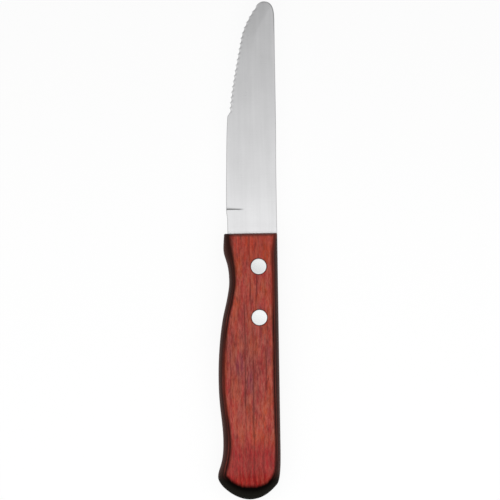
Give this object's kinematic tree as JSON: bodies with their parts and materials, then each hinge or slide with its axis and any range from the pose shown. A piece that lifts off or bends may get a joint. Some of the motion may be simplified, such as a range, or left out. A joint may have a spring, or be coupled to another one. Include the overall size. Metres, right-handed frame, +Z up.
{
  "type": "steak knife",
  "caption": "Round-tipped steak knife: hollow-ground, part-serrated steel blade with a half tang riveted between two wooden handle scales.",
  "frame": {"origin": "under the middle of the bounding box, on the plane the knife lies on", "axes": "+Y from the butt to the tip, +X from the cutting edge to the spine, +Z up from the far scale's flat face to the near one's"},
  "size_m": [0.0318, 0.2498, 0.016],
  "materials": {
    "blade_steel": "satin",
    "handle_wood": "semi-gloss, resin-filled, darker on the rounded sides",
    "rivet_metal": "polished"
  },
  "bodies": {
    "root": {"blade": "blade_steel", "near_scale": "handle_wood", "far_scale": "handle_wood", "front_rivet_post": "rivet_metal", "front_rivet_sleeve": "rivet_metal", "rear_rivet_post": "rivet_metal", "rear_rivet_sleeve": "rivet_metal"}
  },
  "joints": []
}
